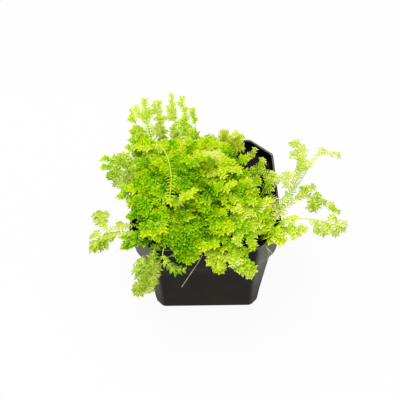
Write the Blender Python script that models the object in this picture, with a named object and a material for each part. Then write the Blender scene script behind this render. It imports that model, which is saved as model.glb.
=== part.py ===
# Potted golden spikemoss: a square nursery pot, its compost, the fronds and the aerial roots.
# Metres, +Z up. The origin is the centre of the pot's underside, and the pot's front faces -Y.
import math

import bmesh
import bpy
from mathutils import Matrix, Vector

MM = 0.001
GAP = 0.3 * MM  # clearance between pieces that touch in the real thing
UP = Vector((0.0, 0.0, 1.0))

# Pot: a square with cut corners that tapers from the rim to the foot.
RIM_HEIGHT = 81.5 * MM
RIM_CORNER_CUT = 14.2 * MM  # length that the cut corner takes off each side at the rim
FOOT_CORNER_CUT = 5.0 * MM
WALL = 1.1 * MM
FLOOR_TOP = 1.6 * MM
DRAIN_RADIUS = 3.5 * MM
DRAIN_SPACING = 20.0 * MM  # between drain holes, which stand in a ring of eight round a closed middle
# Height and half width of the outside, from the foot to the rim: a straight taper, a curved
# step out, and an upright collar.
POT_PROFILE = [
    (0.0, 34.8), (0.8, 35.2), (2.6, 35.4), (12.6, 36.1), (31.6, 38.0), (43.6, 39.2),
    (51.6, 40.1), (54.6, 41.0), (57.6, 42.2), (60.6, 42.9), (64.6, 43.4), (80.9, 45.0),
]

# Compost plug.
COMPOST_TOP = 74.0 * MM
COMPOST_BUMP = 0.2 * MM
COMPOST_SIDE_STEPS = 3  # pieces that each of the eight sides is divided into

# Fronds: flat sprays with side lobes along a stem.
STEM_WIDTH = 1.6 * MM
FROND_THICKNESS = 1.1 * MM
LOBE_LENGTH = 10.0 * MM
LOBE_WIDTH = 3.8 * MM
LOBE_ANGLE = math.radians(52)  # between a lobe and the stem ahead of it
BEND_SHARE = 0.35  # longest lobe on the inside of a bend, as a share of the bend's radius
STATION_SPACING = 6.5 * MM
BARE_STRETCHES = 2  # stretches at the foot of a stem that carry no lobes
UPRIGHT_LEAN = 0.3  # how strongly the upper side turns inwards where a stem stands upright
FROND_FOOT = COMPOST_TOP + 0.6 * MM

# Routes of the fronds that lean out of the mound, in millimetres. The first point stands on the
# compost and has no height of its own.
FROND_ROUTES = {
    "back_left_frond_1": [(-34, 21), (-40, 34, 91), (-47, 46, 109)],
    "back_left_frond_2": [(-28, 27), (-34, 37, 89), (-37, 43, 101), (-37, 48, 115)],
    "back_left_frond_3": [(-22, 24), (-27, 38, 93), (-29, 50, 112)],
    "back_left_frond_4": [(-14, 29), (-18, 41, 96), (-21, 52, 116)],
    "back_left_frond_5": [(-8, 25), (-11, 39, 94), (-13, 50, 114)],
    "back_left_frond_6": [(-1, 30), (-5, 39, 92), (-7, 47, 107)],
    "back_left_frond_7": [(-38, 13), (-42, 28, 89), (-45, 42, 97)],
    "back_middle_frond_1": [(4, 26), (5, 33, 88), (5, 39, 97)],
    "back_middle_frond_2": [(11, 30), (13, 34, 88), (15, 40, 98)],
    "back_middle_frond_3": [(16, 24), (20, 30, 86), (25, 36, 91)],
    "left_frond_1": [(-37, 5), (-50, 12, 92), (-63, 17, 95)],
    "left_frond_2": [(-38, -4), (-48, 1, 88), (-60, 6, 88)],
    "left_frond_3": [(-37, -13), (-44, -11, 87), (-54, -7, 86)],
    "left_trailing_frond_1": [(-34, -23), (-42, -30, 86), (-57, -33, 86), (-64, -17, 83)],
    "left_trailing_frond_2": [(-30, -29), (-41, -36, 86), (-55, -36, 84), (-66, -38, 77)],
    "left_corner_frond": [(-24, -33), (-32, -40, 86), (-40, -42, 84), (-49, -40, 78)],
    "hanging_frond_1": [(-20, -34), (-28, -46, 86), (-31, -54, 82), (-37, -56, 68), (-43, -57, 57)],
    "hanging_frond_2": [(-15, -35), (-22, -44, 86.5), (-24, -52, 84.5), (-18, -57, 81), (-12, -57, 79)],
    "front_left_frond_1": [(-10, -22), (-15, -31, 92), (-24, -37, 98), (-36, -38, 95)],
    "front_left_frond_2": [(-17, -28), (-21, -38, 89), (-29, -46, 89)],
    "arching_frond": [(-27, 12), (-28, 17, 102), (-22, 1, 112), (-19, -14, 110), (-20, -31, 106)],
    "bright_frond": [(-15, -15), (-17, -27, 96), (-13, -28, 105), (-5, -22, 108)],
    "front_frond_1": [(-7, -36), (-7, -46, 87), (-6, -54, 82)],
    "front_frond_2": [(3, -36), (5, -47, 86), (6, -54, 80), (6.5, -54, 74)],
    "front_frond_3": [(17, -36), (20, -46, 86), (23, -53, 78), (25, -54, 69)],
    "front_frond_4": [(23, -33), (26, -42, 87), (26, -49, 84.5)],
    "right_corner_frond": [(31, -34), (36, -39, 86), (43, -44, 84)],
    "yellow_frond": [(33, -28), (43, -34, 86), (51, -36, 87), (58, -34, 86)],
    "right_trailing_frond_1": [
        (34, -16), (44, -19, 89), (52, -9, 92), (57.5, 4, 95), (59, 16, 97), (58, 26, 98),
    ],
    "right_trailing_frond_2": [
        (37, -10), (46, -11, 85), (56, -3, 88), (64, 8, 92), (72, 18, 94), (85, 19, 93),
    ],
    "right_trailing_frond_3": [
        (36, -21), (44, -22, 86), (55, -13, 88), (64, -12, 88), (72, -19, 87), (79, -21, 84),
    ],
    "right_trailing_frond_4": [(35, -27), (44, -29, 86.5), (60, -28, 87), (71, -29, 84), (82, -31, 79)],
    "back_right_frond_1": [(20, 18), (26, 24, 83), (34, 30, 87)],
    "back_right_frond_2": [(24, 3), (31, 12, 83), (38, 21, 87)],
    "right_rim_frond": [(33, -4), (39, 3, 85), (42.5, 11, 86)],
}

# Fronds of the mound stand in a spiral, lean away from its middle and bend over at the top.
MOUND_CENTRE = Vector((-4.0, -6.0, 0.0)) * MM
MOUND_FRONDS = 18
MOUND_SPIRAL_STEP = 6.6 * MM
GOLDEN_ANGLE = math.radians(137.508)
MOUND_TOP = 104.0 * MM
MOUND_FALL = 9.0  # metres of height lost per square metre of radius squared
MOUND_LEAN = 12.0 * MM  # how much farther from the middle a frond's tip is than its foot
MOUND_SWIRL = math.radians(20)

# Aerial roots: thin threads, in millimetres.
ROOT_RADIUS = 0.25 * MM
ROOT_SPACING = 2.5 * MM
ROOT_ROUTES = {
    "aerial_root_1": [(-2, -51, 85), (-5, -51.5, 77), (-10, -51, 64), (-15, -50, 50)],
    "aerial_root_2": [(-16.5, -47, 82.5), (-20, -47.7, 79.5), (-24, -47.5, 76.5)],
    "aerial_root_3": [(34.5, -46, 83.5), (37, -46.5, 80), (38, -45.5, 76.5)],
    "aerial_root_4": [(34, -45, 84), (36, -45.5, 78), (35.5, -45.5, 71)],
}


def clear_scene():
    for obj in list(bpy.data.objects):
        bpy.data.objects.remove(obj)


def material(name, colour, roughness):
    made = bpy.data.materials.new(name)
    made.use_nodes = True
    shader = made.node_tree.nodes["Principled BSDF"]
    shader.inputs["Base Color"].default_value = (*colour, 1.0)
    shader.inputs["Metallic"].default_value = 0.0
    shader.inputs["Roughness"].default_value = roughness
    return made


def add_object(name, mesh, made):
    mesh.materials.append(made)
    obj = bpy.data.objects.new(name, mesh)
    bpy.context.collection.objects.link(obj)
    return obj


def add_faces(name, points, faces, made):
    """An object from points and faces, with its faces turned outwards."""
    mesh = bpy.data.meshes.new(name)
    mesh.from_pydata([tuple(p) for p in points], [], faces)
    shape = bmesh.new()
    shape.from_mesh(mesh)
    bmesh.ops.recalc_face_normals(shape, faces=shape.faces)
    shape.to_mesh(mesh)
    shape.free()
    return add_object(name, mesh, made)


# ---- pot ----


def pot_half_width(height):
    """Half width of the pot's outside at a height, read from its profile."""
    for (z0, w0), (z1, w1) in zip(POT_PROFILE, POT_PROFILE[1:]):
        if height <= z1 * MM:
            return (w0 + (w1 - w0) * (height / MM - z0) / (z1 - z0)) * MM
    return POT_PROFILE[-1][1] * MM


def corner_cut(height):
    return FOOT_CORNER_CUT + (RIM_CORNER_CUT - FOOT_CORNER_CUT) * height / RIM_HEIGHT


def octagon(height, inset=0.0):
    """The eight corners of the pot's section at a height, moved inwards by inset."""
    half = pot_half_width(height) - inset
    cut = corner_cut(height) - inset * (2.0 - math.sqrt(2.0))
    corners = []
    for quarter in range(4):
        turn = quarter * math.pi / 2.0
        for x, y in ((half, half - cut), (half - cut, half)):
            corners.append(Vector((
                x * math.cos(turn) - y * math.sin(turn),
                x * math.sin(turn) + y * math.cos(turn),
                height,
            )))
    return corners


def split_sides(corners, steps):
    """The same outline with every side divided into equal steps."""
    points = []
    for start, end in zip(corners, corners[1:] + corners[:1]):
        points += [start.lerp(end, step / steps) for step in range(steps)]
    return points


def loft(loops, close_first=True, close_last=True):
    """Points and faces of a skin through loops that have the same number of points."""
    count = len(loops[0])
    points = [p for loop in loops for p in loop]
    faces = []
    for level in range(len(loops) - 1):
        for i in range(count):
            j = (i + 1) % count
            low, high = level * count, (level + 1) * count
            faces.append((low + i, low + j, high + j, high + i))
    if close_first:
        faces.append(tuple(reversed(range(count))))
    if close_last:
        faces.append(tuple(range((len(loops) - 1) * count, len(loops) * count)))
    return points, faces


def add_pot(plastic):
    heights = [z * MM for z, _ in POT_PROFILE]
    loops = [octagon(z) for z in heights]
    loops += [octagon(RIM_HEIGHT, 0.3 * MM), octagon(RIM_HEIGHT, WALL - 0.2 * MM)]
    loops += [octagon(z, WALL) for z in reversed(heights) if z > FLOOR_TOP]
    loops.append(octagon(FLOOR_TOP, WALL))
    pot = add_faces("pot", *loft(loops), plastic)
    cut_drain_holes(pot)
    return pot


def cut_drain_holes(pot):
    """Eight round holes through the floor, cut by one guide of eight rods."""
    shape = bmesh.new()
    places = [(x, y) for x in (-1, 0, 1) for y in (-1, 0, 1) if (x, y) != (0, 0)]
    for x, y in places:
        rod = bmesh.ops.create_cone(
            shape, cap_ends=True, segments=16, radius1=DRAIN_RADIUS, radius2=DRAIN_RADIUS,
            depth=4.0 * FLOOR_TOP,
        )
        bmesh.ops.translate(shape, verts=rod["verts"], vec=Vector((x, y, 0.0)) * DRAIN_SPACING)
    mesh = bpy.data.meshes.new("drain_hole_cutter")
    shape.to_mesh(mesh)
    shape.free()
    cutter = bpy.data.objects.new("drain_hole_cutter", mesh)
    bpy.context.collection.objects.link(cutter)
    cutter.hide_render = True
    cutter.display_type = "WIRE"
    cut = pot.modifiers.new("drain_holes", "BOOLEAN")
    cut.operation = "DIFFERENCE"
    cut.solver = "EXACT"
    cut.object = cutter


# ---- compost ----


def add_compost(peat):
    """A plug that fills the pot, with a slightly uneven top."""
    inset = WALL + GAP
    foot = FLOOR_TOP + GAP
    heights = [foot] + [z * MM for z, _ in POT_PROFILE if foot < z * MM < COMPOST_TOP]
    heights.append(COMPOST_TOP)
    loops = [split_sides(octagon(z, inset), COMPOST_SIDE_STEPS) for z in heights]
    rim = loops[-1]
    for shrink in (0.8, 0.6, 0.4, 0.2):
        loops.append([compost_point(edge, shrink) for edge in rim])
    return add_faces("compost", *loft(loops), peat)


def compost_point(edge_point, shrink):
    x, y = edge_point.x * shrink, edge_point.y * shrink
    bump = math.sin(x / (5.0 * MM)) * math.cos(y / (6.0 * MM))
    return Vector((x, y, COMPOST_TOP + COMPOST_BUMP * bump))


# ---- fronds ----


def smooth_route(points, spacing, set_out=None):
    """Evenly spaced points on a Catmull-Rom curve through the route's points.

    set_out is the direction in which the curve leaves its first point.
    """
    first = points[1] - points[0]
    before = points[0] - (first if set_out is None else set_out * first.length)
    ends = [before] + points + [points[-1] * 2.0 - points[-2]]
    fine = []
    for a, b, c, d in zip(ends, ends[1:], ends[2:], ends[3:]):
        for step in range(12):
            t = step / 12.0
            fine.append(0.5 * (
                2.0 * b + (c - a) * t
                + (2.0 * a - 5.0 * b + 4.0 * c - d) * t ** 2
                + (3.0 * b - a - 3.0 * c + d) * t ** 3
            ))
    fine.append(points[-1])
    return resample(fine, spacing)


def resample(fine, spacing):
    lengths = [0.0]
    for a, b in zip(fine, fine[1:]):
        lengths.append(lengths[-1] + (b - a).length)
    count = max(4, round(lengths[-1] / spacing))
    points = []
    k = 0
    for i in range(count + 1):
        target = lengths[-1] * i / count
        while k < len(fine) - 2 and lengths[k + 1] < target:
            k += 1
        points.append(fine[k].lerp(fine[k + 1], (target - lengths[k]) / (lengths[k + 1] - lengths[k])))
    return points


def route_points(route):
    """A route in metres, with its first point set on the compost."""
    foot = Vector((route[0][0] * MM, route[0][1] * MM, FROND_FOOT))
    return [foot] + [Vector(p) * MM for p in route[1:]]


def mound_routes():
    """Routes of the mound's fronds: a spiral of feet, each with a tip on the mound's surface."""
    routes = {}
    for k in range(MOUND_FRONDS):
        turn = k * GOLDEN_ANGLE
        radius = MOUND_SPIRAL_STEP * math.sqrt(k + 0.5)
        away = Vector((math.cos(turn), math.sin(turn), 0.0))
        lean = Matrix.Rotation(MOUND_SWIRL * math.sin(2.0 * k), 3, "Z") @ away * MOUND_LEAN
        foot = MOUND_CENTRE + away * radius
        tip = foot + lean
        tip.z = MOUND_TOP - MOUND_FALL * (radius + MOUND_LEAN) ** 2
        foot.z = FROND_FOOT
        middle = foot + lean * 0.3
        middle.z = FROND_FOOT + 0.8 * (tip.z - FROND_FOOT)
        routes[f"mound_frond_{k + 1}"] = [foot, middle, tip]
    return routes


def frames(points):
    """Direction along the stem, upper side and left side at each point of a frond.

    The upper side looks at the sky where the frond lies flat, inwards where it stands up and
    outwards where it hangs. It is carried back from the tip, so that the stem doesn't twist.
    """
    made = []
    last = len(points) - 1
    upper = Vector()
    for i in range(last, -1, -1):
        ahead = (points[min(i + 1, last)] - points[max(i - 1, 0)]).normalized()
        inwards = Vector((-points[i].x, -points[i].y, 0.0)).normalized()
        upper = upper + UP + inwards * ahead.z * UPRIGHT_LEAN
        upper = (upper - upper.dot(ahead) * ahead).normalized()
        made.insert(0, (ahead, upper, upper.cross(ahead)))
    return made


def free_radius(name, point, routes):
    """Distance from a point on one frond to the nearest other frond's stem."""
    return min(
        (point - other).length
        for other_name, points in routes.items() if other_name != name
        for other in points
    )


def add_frond(name, routes, leaf):
    """A flat spray: a stem as a narrow strip, with a lobe on each side of every leafy stretch."""
    points = routes[name]
    axes = frames(points)
    last = len(points) - 1
    outline = []  # points of the frond's middle layer, with the upper side's direction
    faces = []

    def add_point(place, upper):
        outline.append((place, upper))
        return len(outline) - 1

    left, right = [], []
    for i, (place, (ahead, upper, side)) in enumerate(zip(points, axes)):
        half = 0.5 * STEM_WIDTH * (1.0 - 0.5 * i / last)
        left.append(add_point(place + side * half, upper))
        right.append(add_point(place - side * half, upper))
    for i in range(last):
        faces.append((left[i], right[i], right[i + 1], left[i + 1]))
        if i < BARE_STRETCHES:
            continue
        ahead, upper, side = axes[i]
        middle = points[i].lerp(points[i + 1], 0.5)
        room = min(lobe_length(i / last), 0.42 * free_radius(name, middle, routes)) - 0.5 * STEM_WIDTH
        turn = (axes[i + 1][0] - ahead) / (points[i + 1] - points[i]).length
        for edge, out in ((left, side), (right, -side)):
            # a lobe on the inside of a bend is narrower and stays short of the bend's centre
            reach = min(room, BEND_SHARE / max(turn.dot(out), 1.0))
            half = min(0.5 * LOBE_WIDTH, 0.4 * reach) * reach / room
            along = ahead * math.cos(LOBE_ANGLE) + out * math.sin(LOBE_ANGLE)
            across = ahead * math.sin(LOBE_ANGLE) - out * math.cos(LOBE_ANGLE)
            root = outline[edge[i]][0].lerp(outline[edge[i + 1]][0], 0.5)
            belly = root + along * reach * 0.5 - upper * 0.03 * reach
            back = add_point(belly - across * half, upper)
            front = add_point(belly + across * half, upper)
            tip = add_point(root + along * reach - upper * 0.1 * reach, upper)
            faces.append((edge[i], edge[i + 1], front, back))
            faces.append((back, front, tip))
    ahead, upper, side = axes[last]
    faces.append((left[last], right[last], add_point(points[last] + ahead * STEM_WIDTH, upper)))
    return add_faces(name, *thicken(outline, faces), leaf)


def lobe_length(t):
    """Wanted length of the lobe at a fraction of the frond's length: longest past the middle."""
    return LOBE_LENGTH * (0.45 + 0.55 * math.sin(math.pi * (0.15 + 0.75 * t)))


def thicken(outline, faces):
    """A closed plate from a middle layer: an upper and a lower copy, joined along the rim."""
    count = len(outline)
    half = 0.5 * FROND_THICKNESS
    points = [place + upper * half for place, upper in outline]
    points += [place - upper * half for place, upper in outline]
    edges = {}
    for face in faces:
        for a, b in zip(face, face[1:] + face[:1]):
            key = (min(a, b), max(a, b))
            edges[key] = edges.get(key, 0) + 1
    solid = list(faces) + [tuple(i + count for i in face) for face in faces]
    solid += [(a, b, b + count, a + count) for (a, b), uses in edges.items() if uses == 1]
    return points, solid


# ---- aerial roots ----


def add_root(name, route, thread):
    """A thin thread along a smooth route, with closed ends."""
    points = smooth_route([Vector(p) * MM for p in route], ROOT_SPACING)
    curve = bpy.data.curves.new(name, "CURVE")
    curve.dimensions = "3D"
    curve.bevel_depth = ROOT_RADIUS
    curve.bevel_resolution = 2
    curve.resolution_u = 1
    curve.render_resolution_u = 0
    curve.use_fill_caps = True
    spline = curve.splines.new("POLY")
    spline.points.add(len(points) - 1)
    for spot, place in zip(spline.points, points):
        spot.co = (*place, 1.0)
    return add_object(name, curve, thread)


def main():
    clear_scene()
    plastic = material("moulded_black_plastic", (0.022, 0.021, 0.018), 0.5)
    peat = material("peat_compost", (0.018, 0.011, 0.008), 0.95)
    leaf = material("golden_leaf", (0.33, 0.57, 0.02), 0.5)
    thread = material("root_thread", (0.62, 0.58, 0.48), 0.6)

    add_pot(plastic)
    add_compost(peat)
    routes = {
        name: smooth_route(route_points(route), STATION_SPACING, UP)
        for name, route in FROND_ROUTES.items()
    }
    for name, route in mound_routes().items():
        routes[name] = smooth_route(route, STATION_SPACING, UP)
    for name in routes:
        add_frond(name, routes, leaf)
    for name, route in ROOT_ROUTES.items():
        add_root(name, route, thread)


main()
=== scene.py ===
import math
import random

import bmesh
import bpy
import numpy as np
from mathutils import Matrix, Vector, noise


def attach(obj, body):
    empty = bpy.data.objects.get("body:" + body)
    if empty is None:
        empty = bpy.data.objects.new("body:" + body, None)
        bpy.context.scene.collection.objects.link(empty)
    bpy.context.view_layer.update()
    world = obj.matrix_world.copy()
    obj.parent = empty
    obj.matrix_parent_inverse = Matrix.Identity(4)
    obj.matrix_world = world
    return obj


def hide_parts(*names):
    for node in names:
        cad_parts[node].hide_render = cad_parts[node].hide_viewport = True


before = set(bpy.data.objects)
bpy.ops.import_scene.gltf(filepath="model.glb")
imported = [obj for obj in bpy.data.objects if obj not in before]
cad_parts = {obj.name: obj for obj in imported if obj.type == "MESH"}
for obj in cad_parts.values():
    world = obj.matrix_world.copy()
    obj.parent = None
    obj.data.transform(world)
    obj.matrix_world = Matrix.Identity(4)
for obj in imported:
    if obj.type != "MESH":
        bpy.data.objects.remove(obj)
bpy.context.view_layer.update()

# Golden spikemoss in a square nursery pot. Everything is worked out in millimetres and made
# in metres, in the frame of the CAD part: origin under the middle of the pot, front faces -Y.
mm = 0.001
worldUp = Vector((0, 0, 1))


def deselectAll():
    if bpy.context.object and bpy.context.object.mode != "OBJECT":
        bpy.ops.object.mode_set(mode="OBJECT")
    bpy.ops.object.select_all(action="DESELECT")


def makeActive(obj):
    deselectAll()
    obj.select_set(True)
    bpy.context.view_layer.objects.active = obj


def newObject(name, data):
    obj = bpy.data.objects.new(name, data)
    bpy.context.scene.collection.objects.link(obj)
    return obj


def joinInto(target, others):
    deselectAll()
    for obj in [target] + others:
        obj.select_set(True)
    bpy.context.view_layer.objects.active = target
    bpy.ops.object.join()
    return target


def settle(obj, name):
    # object back at the origin with its place in the mesh, riding on the part
    makeActive(obj)
    bpy.ops.object.transform_apply()
    obj.name = name
    obj.data.name = name
    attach(obj, "root")


def linear(hexColour):
    parts = [int(hexColour[i:i + 2], 16) / 255 for i in (1, 3, 5)]
    return [c / 12.92 if c <= 0.04045 else ((c + 0.055) / 1.055) ** 2.4 for c in parts] + [1.0]


def addNode(tree, kind, settings=None, links=None):
    # "stops" are a ramp's places and colours; a link given as a node is from its first output
    node = tree.nodes.new("ShaderNode" + kind)
    for key, value in (settings or {}).items():
        if key == "stops":
            ramp = node.color_ramp.elements
            while len(ramp) < len(value):
                ramp.new(0.5)
            for element, (place, colour) in zip(ramp, value):
                element.position = place
                element.color = linear(colour)
        elif isinstance(key, int) or key in node.inputs:
            node.inputs[key].default_value = value
        else:
            setattr(node, key, value)
    for key, source in (links or {}).items():
        tree.links.new(getattr(source, "outputs", [source])[0], node.inputs[key])
    return node


def newMaterial(name, surface, *details):
    # surface adds the nodes and returns the last one, the shader
    made = bpy.data.materials.new(name)
    made.use_nodes = True
    made.node_tree.nodes.clear()
    shader = surface(made.node_tree, *details)
    addNode(made.node_tree, "OutputMaterial", {}, {"Surface": shader})
    return made


# Injection moulded black polypropylene: warm near-black with a dull sheen. The cut corners are
# painted grey, a painted sheen of the side lamps that is strongest at the top; the lip has a
# painted highlight.
def mouldedPlastic(tree):
    place = addNode(tree, "TexCoord").outputs["Object"]
    dust = addNode(tree, "TexNoise", {"Scale": 1 / (14 * mm), "Detail": 5.0, "Roughness": 0.6},
                   {"Vector": place})  # dried water and dust, about 14 mm patches
    clean = addNode(tree, "ValToRGB", {"stops": [(0.35, "#0e0c03"), (0.75, "#1f1d0e")]},
                    {"Fac": dust})
    # painted sheen on the cut corners: light grey over the same dust pattern
    sheenTone = addNode(tree, "ValToRGB", {"stops": [(0.35, "#646359"), (0.75, "#7b7a6f")]},
                     {"Fac": dust})
    axes = addNode(tree, "SeparateXYZ", {}, {"Vector": place})
    sideX, sideY = (addNode(tree, "Math", {"operation": "ABSOLUTE"}, {0: axes.outputs[axis]})
                    for axis in "XY")
    nearer = addNode(tree, "Math", {"operation": "MINIMUM"}, {0: sideX, 1: sideY})
    corner = addNode(tree, "MapRange", {"From Min": 28.5 * mm, "From Max": 31.5 * mm},
                     {"Value": nearer})  # the cut corners lie beyond 30 mm both ways
    sheenHeight = addNode(tree, "MapRange", {"From Min": 0.0, "From Max": 70 * mm, "To Min": 0.12},
                      {"Value": axes.outputs["Z"]})  # the painted sheen, strongest at the top
    paintedSheen = addNode(tree, "Math", {"operation": "MULTIPLY"}, {0: corner, 1: sheenHeight})
    outer = addNode(tree, "Mix", {"data_type": "RGBA"}, {"Factor": paintedSheen, 6: clean, 7: sheenTone})
    inner = addNode(tree, "Attribute", {"attribute_name": "innerWall"})
    body = addNode(tree, "Mix", {"data_type": "RGBA", 7: linear("#0b0a06")},
                   {"Factor": inner.outputs["Fac"], 6: outer.outputs[2]})  # painted shade: the inside walls darker, without the painted sheen
    lip = addNode(tree, "MapRange", {"From Min": 80.9 * mm, "From Max": 81.4 * mm},
                  {"Value": axes.outputs["Z"]})  # painted highlight along the top half millimetre
    whole = addNode(tree, "Mix", {"data_type": "RGBA", 7: linear("#8f8e84")},
                    {"Factor": lip, 6: body.outputs[2]})
    grain = addNode(tree, "TexNoise", {"Scale": 1 / (0.9 * mm), "Detail": 3.0},
                    {"Vector": place})  # mould grain, drawn at 0.9 mm so that it shows
    bump = addNode(tree, "Bump", {"Strength": 0.18, "Distance": 0.12 * mm}, {"Height": grain})
    return addNode(tree, "BsdfPrincipled",
                   {"Roughness": 0.55, "IOR": 1.49, "Specular IOR Level": 0.06},
                   {"Base Color": whole.outputs[2], "Normal": bump})


# Peat compost, damp: almost black crumbs with brown fibres showing through.
def peatCompost(tree):
    place = addNode(tree, "TexCoord").outputs["Object"]
    crumbs = addNode(tree, "TexNoise", {"Scale": 1 / (2.5 * mm), "Detail": 6.0, "Roughness": 0.7},
                     {"Vector": place})  # crumbs of 2 to 3 mm
    tone = addNode(tree, "ValToRGB", {"stops": [
        (0.30, "#0d0a08"), (0.55, "#1c140f"), (0.72, "#3a261a")]}, {"Fac": crumbs})
    bump = addNode(tree, "Bump", {"Strength": 0.7, "Distance": 0.5 * mm}, {"Height": crumbs})
    return addNode(tree, "BsdfPrincipled", {"Roughness": 0.92, "IOR": 1.4},
                   {"Base Color": tone, "Normal": bump})


# Dry plant matter in lighter and darker streaks of one size in millimetres: slivers of composted
# bark, red-brown against the peat, and aerial roots, fine threads that are pale against the pot.
def dryStreaks(tree, size, detail, stops, roughness):
    place = addNode(tree, "TexCoord").outputs["Object"]
    streaks = addNode(tree, "TexNoise", {"Scale": 1 / (size * mm), "Detail": detail},
                      {"Vector": place})
    tone = addNode(tree, "ValToRGB", {"stops": stops}, {"Fac": streaks})
    return addNode(tree, "BsdfPrincipled", {"Roughness": roughness, "IOR": 1.45},
                   {"Base Color": tone})


# Leaves and stems read the piece's map, OFBake, with the place along them in U. A leaf's own tint
# is in V, from old green to new yellow, and dead leaves have the top of the map.
mapShares = {
    "oldest": 0.12, "newest": 0.96,
    "tint": (0.14, 0.93),      # where a living leaf's own tint ends
    "across": 0.04,            # from one edge of a leaf to the other
    "under": 0.04,             # paler below
    "deadFrom": 0.975, "dead": 0.99,
    "middle": 0.58,            # the place along a leaf where it has its own tint
}


# Spikemoss leaves: thin, slightly waxy and lit through, so the sprays glow yellow-green. The tint
# changes by towardsPoint from the base of a leaf to its point.
def spikemossLeaf(tree, stops, towardsPoint):
    axes = addNode(tree, "SeparateXYZ", {},
                   {"Vector": addNode(tree, "UVMap", {"uv_map": "OFBake"})})
    outer = addNode(tree, "Math", {"operation": "MULTIPLY_ADD", 1: towardsPoint,
                    2: -mapShares["middle"] * towardsPoint}, {0: axes.outputs["X"]})
    tint = addNode(tree, "Math", {"operation": "ADD"}, {0: axes.outputs["Y"], 1: outer})
    living = addNode(tree, "Math", {"operation": "MINIMUM", 1: mapShares["newest"]}, {0: tint})
    age = addNode(tree, "ValToRGB", {"stops": stops}, {"Fac": living})
    withered = addNode(tree, "Math", {"operation": "GREATER_THAN", 1: mapShares["deadFrom"]},
                       {0: axes.outputs["Y"]})
    colour = addNode(tree, "Mix", {"data_type": "RGBA", 7: linear("#a3853a")},
                     {"Factor": withered, 6: age}).outputs[2]
    waxy = addNode(tree, "BsdfPrincipled",
                   {"Roughness": 0.5, "IOR": 1.42, "Specular IOR Level": 0.06},
                   {"Base Color": colour})
    litThrough = addNode(tree, "BsdfTranslucent", {}, {"Color": colour})
    return addNode(tree, "MixShader", {"Fac": 0.4}, {1: waxy, 2: litThrough})


# Spikemoss stems: smooth and juicy, straw green when young and paler with age.
def spikemossStem(tree):
    axes = addNode(tree, "SeparateXYZ", {},
                   {"Vector": addNode(tree, "UVMap", {"uv_map": "OFBake"})})
    age = addNode(tree, "ValToRGB", {"stops": [
        (0.0, "#c0cc54"), (0.3, "#dcec62"), (1.0, "#c0e42a")]}, {"Fac": axes.outputs["X"]})
    return addNode(tree, "BsdfPrincipled",
                   {"Roughness": 0.45, "IOR": 1.42, "Specular IOR Level": 0.1},
                   {"Base Color": age})


plastic = newMaterial("moulded black polypropylene", mouldedPlastic)
peat = newMaterial("damp peat compost", peatCompost)
stemMaterial = newMaterial("spikemoss stem", spikemossStem)
bark = newMaterial("composted bark slivers", dryStreaks, 3, 3.0,
                   [(0.35, "#2a170f"), (0.7, "#6b3c26")], 0.85)
rootMaterial = newMaterial("dry aerial root", dryStreaks, 4, 2.0,
                           [(0.35, "#8f8a78"), (0.65, "#c9c4b0")], 0.6)
# in the mound every leaf is yellower towards its point, and at its edge paler; the stray fronds
# have bleached, and their leaves are greener towards the point; the tall tuft at the back is
# tinted paler as painted light
leafMaterials = {kind: newMaterial(kind + " spikemoss leaf", spikemossLeaf, *details)
                 for kind, *details in [
    ("golden", [(0.02, "#387600"), (0.22, "#70c000"), (0.44, "#b3e402"), (0.64, "#dff40a"),
                (0.80, "#eefa1e"), (0.96, "#f9fc98")], 0.6),
    ("pale", [(0.02, "#387600"), (0.22, "#70c000"), (0.44, "#b3e40a"), (0.64, "#e2f42c"),
              (0.80, "#f3f970"), (0.96, "#fbfcd4")], 0.6),
    ("bleached", [(0.10, "#7ca21e"), (0.35, "#b4da34"), (0.60, "#e2f04e"), (0.80, "#f4f994"),
                  (0.96, "#fbfdd2")], -0.5),
    ("fresh", [(0.05, "#74a010"), (0.30, "#aed418"), (0.52, "#defa18"), (0.74, "#f2fe50"),
               (0.96, "#fcfec8")], 0.45),
]}
print("materials made")


# The pot, in millimetres.
potShape = {
    "slot": "pot_plastic",
    "rimHeight": 81.5,
    "rimCut": 14.2,       # what the cut corner takes off each side at the rim
    "footCut": 5.0,
    "wall": 1.1,
    "floorTop": 1.6,
    "holeRadius": 3.5,
    "holeSpacing": 20.0,
    "cornerRound": 1.6,   # rounding along the upright corners
    "edgeRound": 0.3,
    # height and half width of the outside: taper, curved step out, upright collar
    "profile": [(0.0, 34.8), (0.8, 35.2), (2.6, 35.4), (12.6, 36.1), (31.6, 38.0), (43.6, 39.2),
                (51.6, 40.1), (54.6, 41.0), (57.6, 42.2), (60.6, 42.9), (64.6, 43.4),
                (80.9, 45.0), (81.5, 45.0)],
    "innerRings": (64.6, 60.6, 57.6, 54.6, 51.6, 43.6, 12.6),
}


def potSection(height, inset=0.0):
    # the eight corners of the pot at a height, as Vectors in millimetres
    half = np.interp(height, *zip(*potShape["profile"])) - inset
    cut = (potShape["footCut"] + (potShape["rimCut"] - potShape["footCut"])
           * height / potShape["rimHeight"]) - inset * (2 - math.sqrt(2))
    corners = []
    for quarter in range(4):
        turn = Matrix.Rotation(quarter * math.pi / 2, 3, "Z")
        corners += [turn @ Vector((half, half - cut, height)),
                    turn @ Vector((half - cut, half, height))]
    return corners


def placeRing(obj, corners):
    # the selected ring of eight takes these corners, matched by direction from the middle
    mesh = bmesh.from_edit_mesh(obj.data)
    for vert in (v for v in mesh.verts if v.select):
        angle = math.atan2(vert.co.y, vert.co.x)
        vert.co = mm * min(corners, key=lambda c: abs(math.remainder(
            math.atan2(c.y, c.x) - angle, 2 * math.pi)))
    bmesh.update_edit_mesh(obj.data)


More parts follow.
